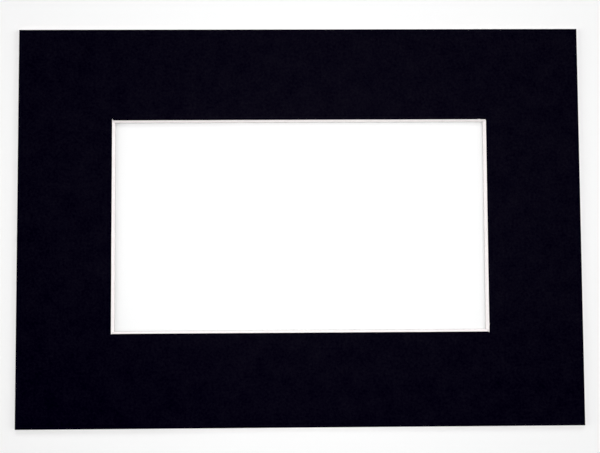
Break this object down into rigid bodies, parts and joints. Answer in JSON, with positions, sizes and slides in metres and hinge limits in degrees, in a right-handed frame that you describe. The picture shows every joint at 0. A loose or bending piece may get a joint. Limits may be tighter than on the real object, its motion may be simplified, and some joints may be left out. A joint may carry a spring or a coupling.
{
  "type": "picture mount",
  "caption": "Flat rectangular picture mount in black-faced, white-core board, with a bevel-cut landscape window that borders the picture behind it.",
  "frame": {"origin": "middle of the sheet's outline, on the plane of its back", "axes": "+X along the long side, +Y towards the top edge, +Z out of the black face"},
  "size_m": [0.297, 0.21, 0.0015],
  "materials": {
    "white_core": "white paper-pulp core, matt, with fine fibres on its cut edges",
    "black_paper": "near-black facing paper with a faint navy cast, matt, with a fine tooth"
  },
  "bodies": {
    "root": {"core_board": "white_core", "face_paper": "black_paper"}
  },
  "joints": []
}
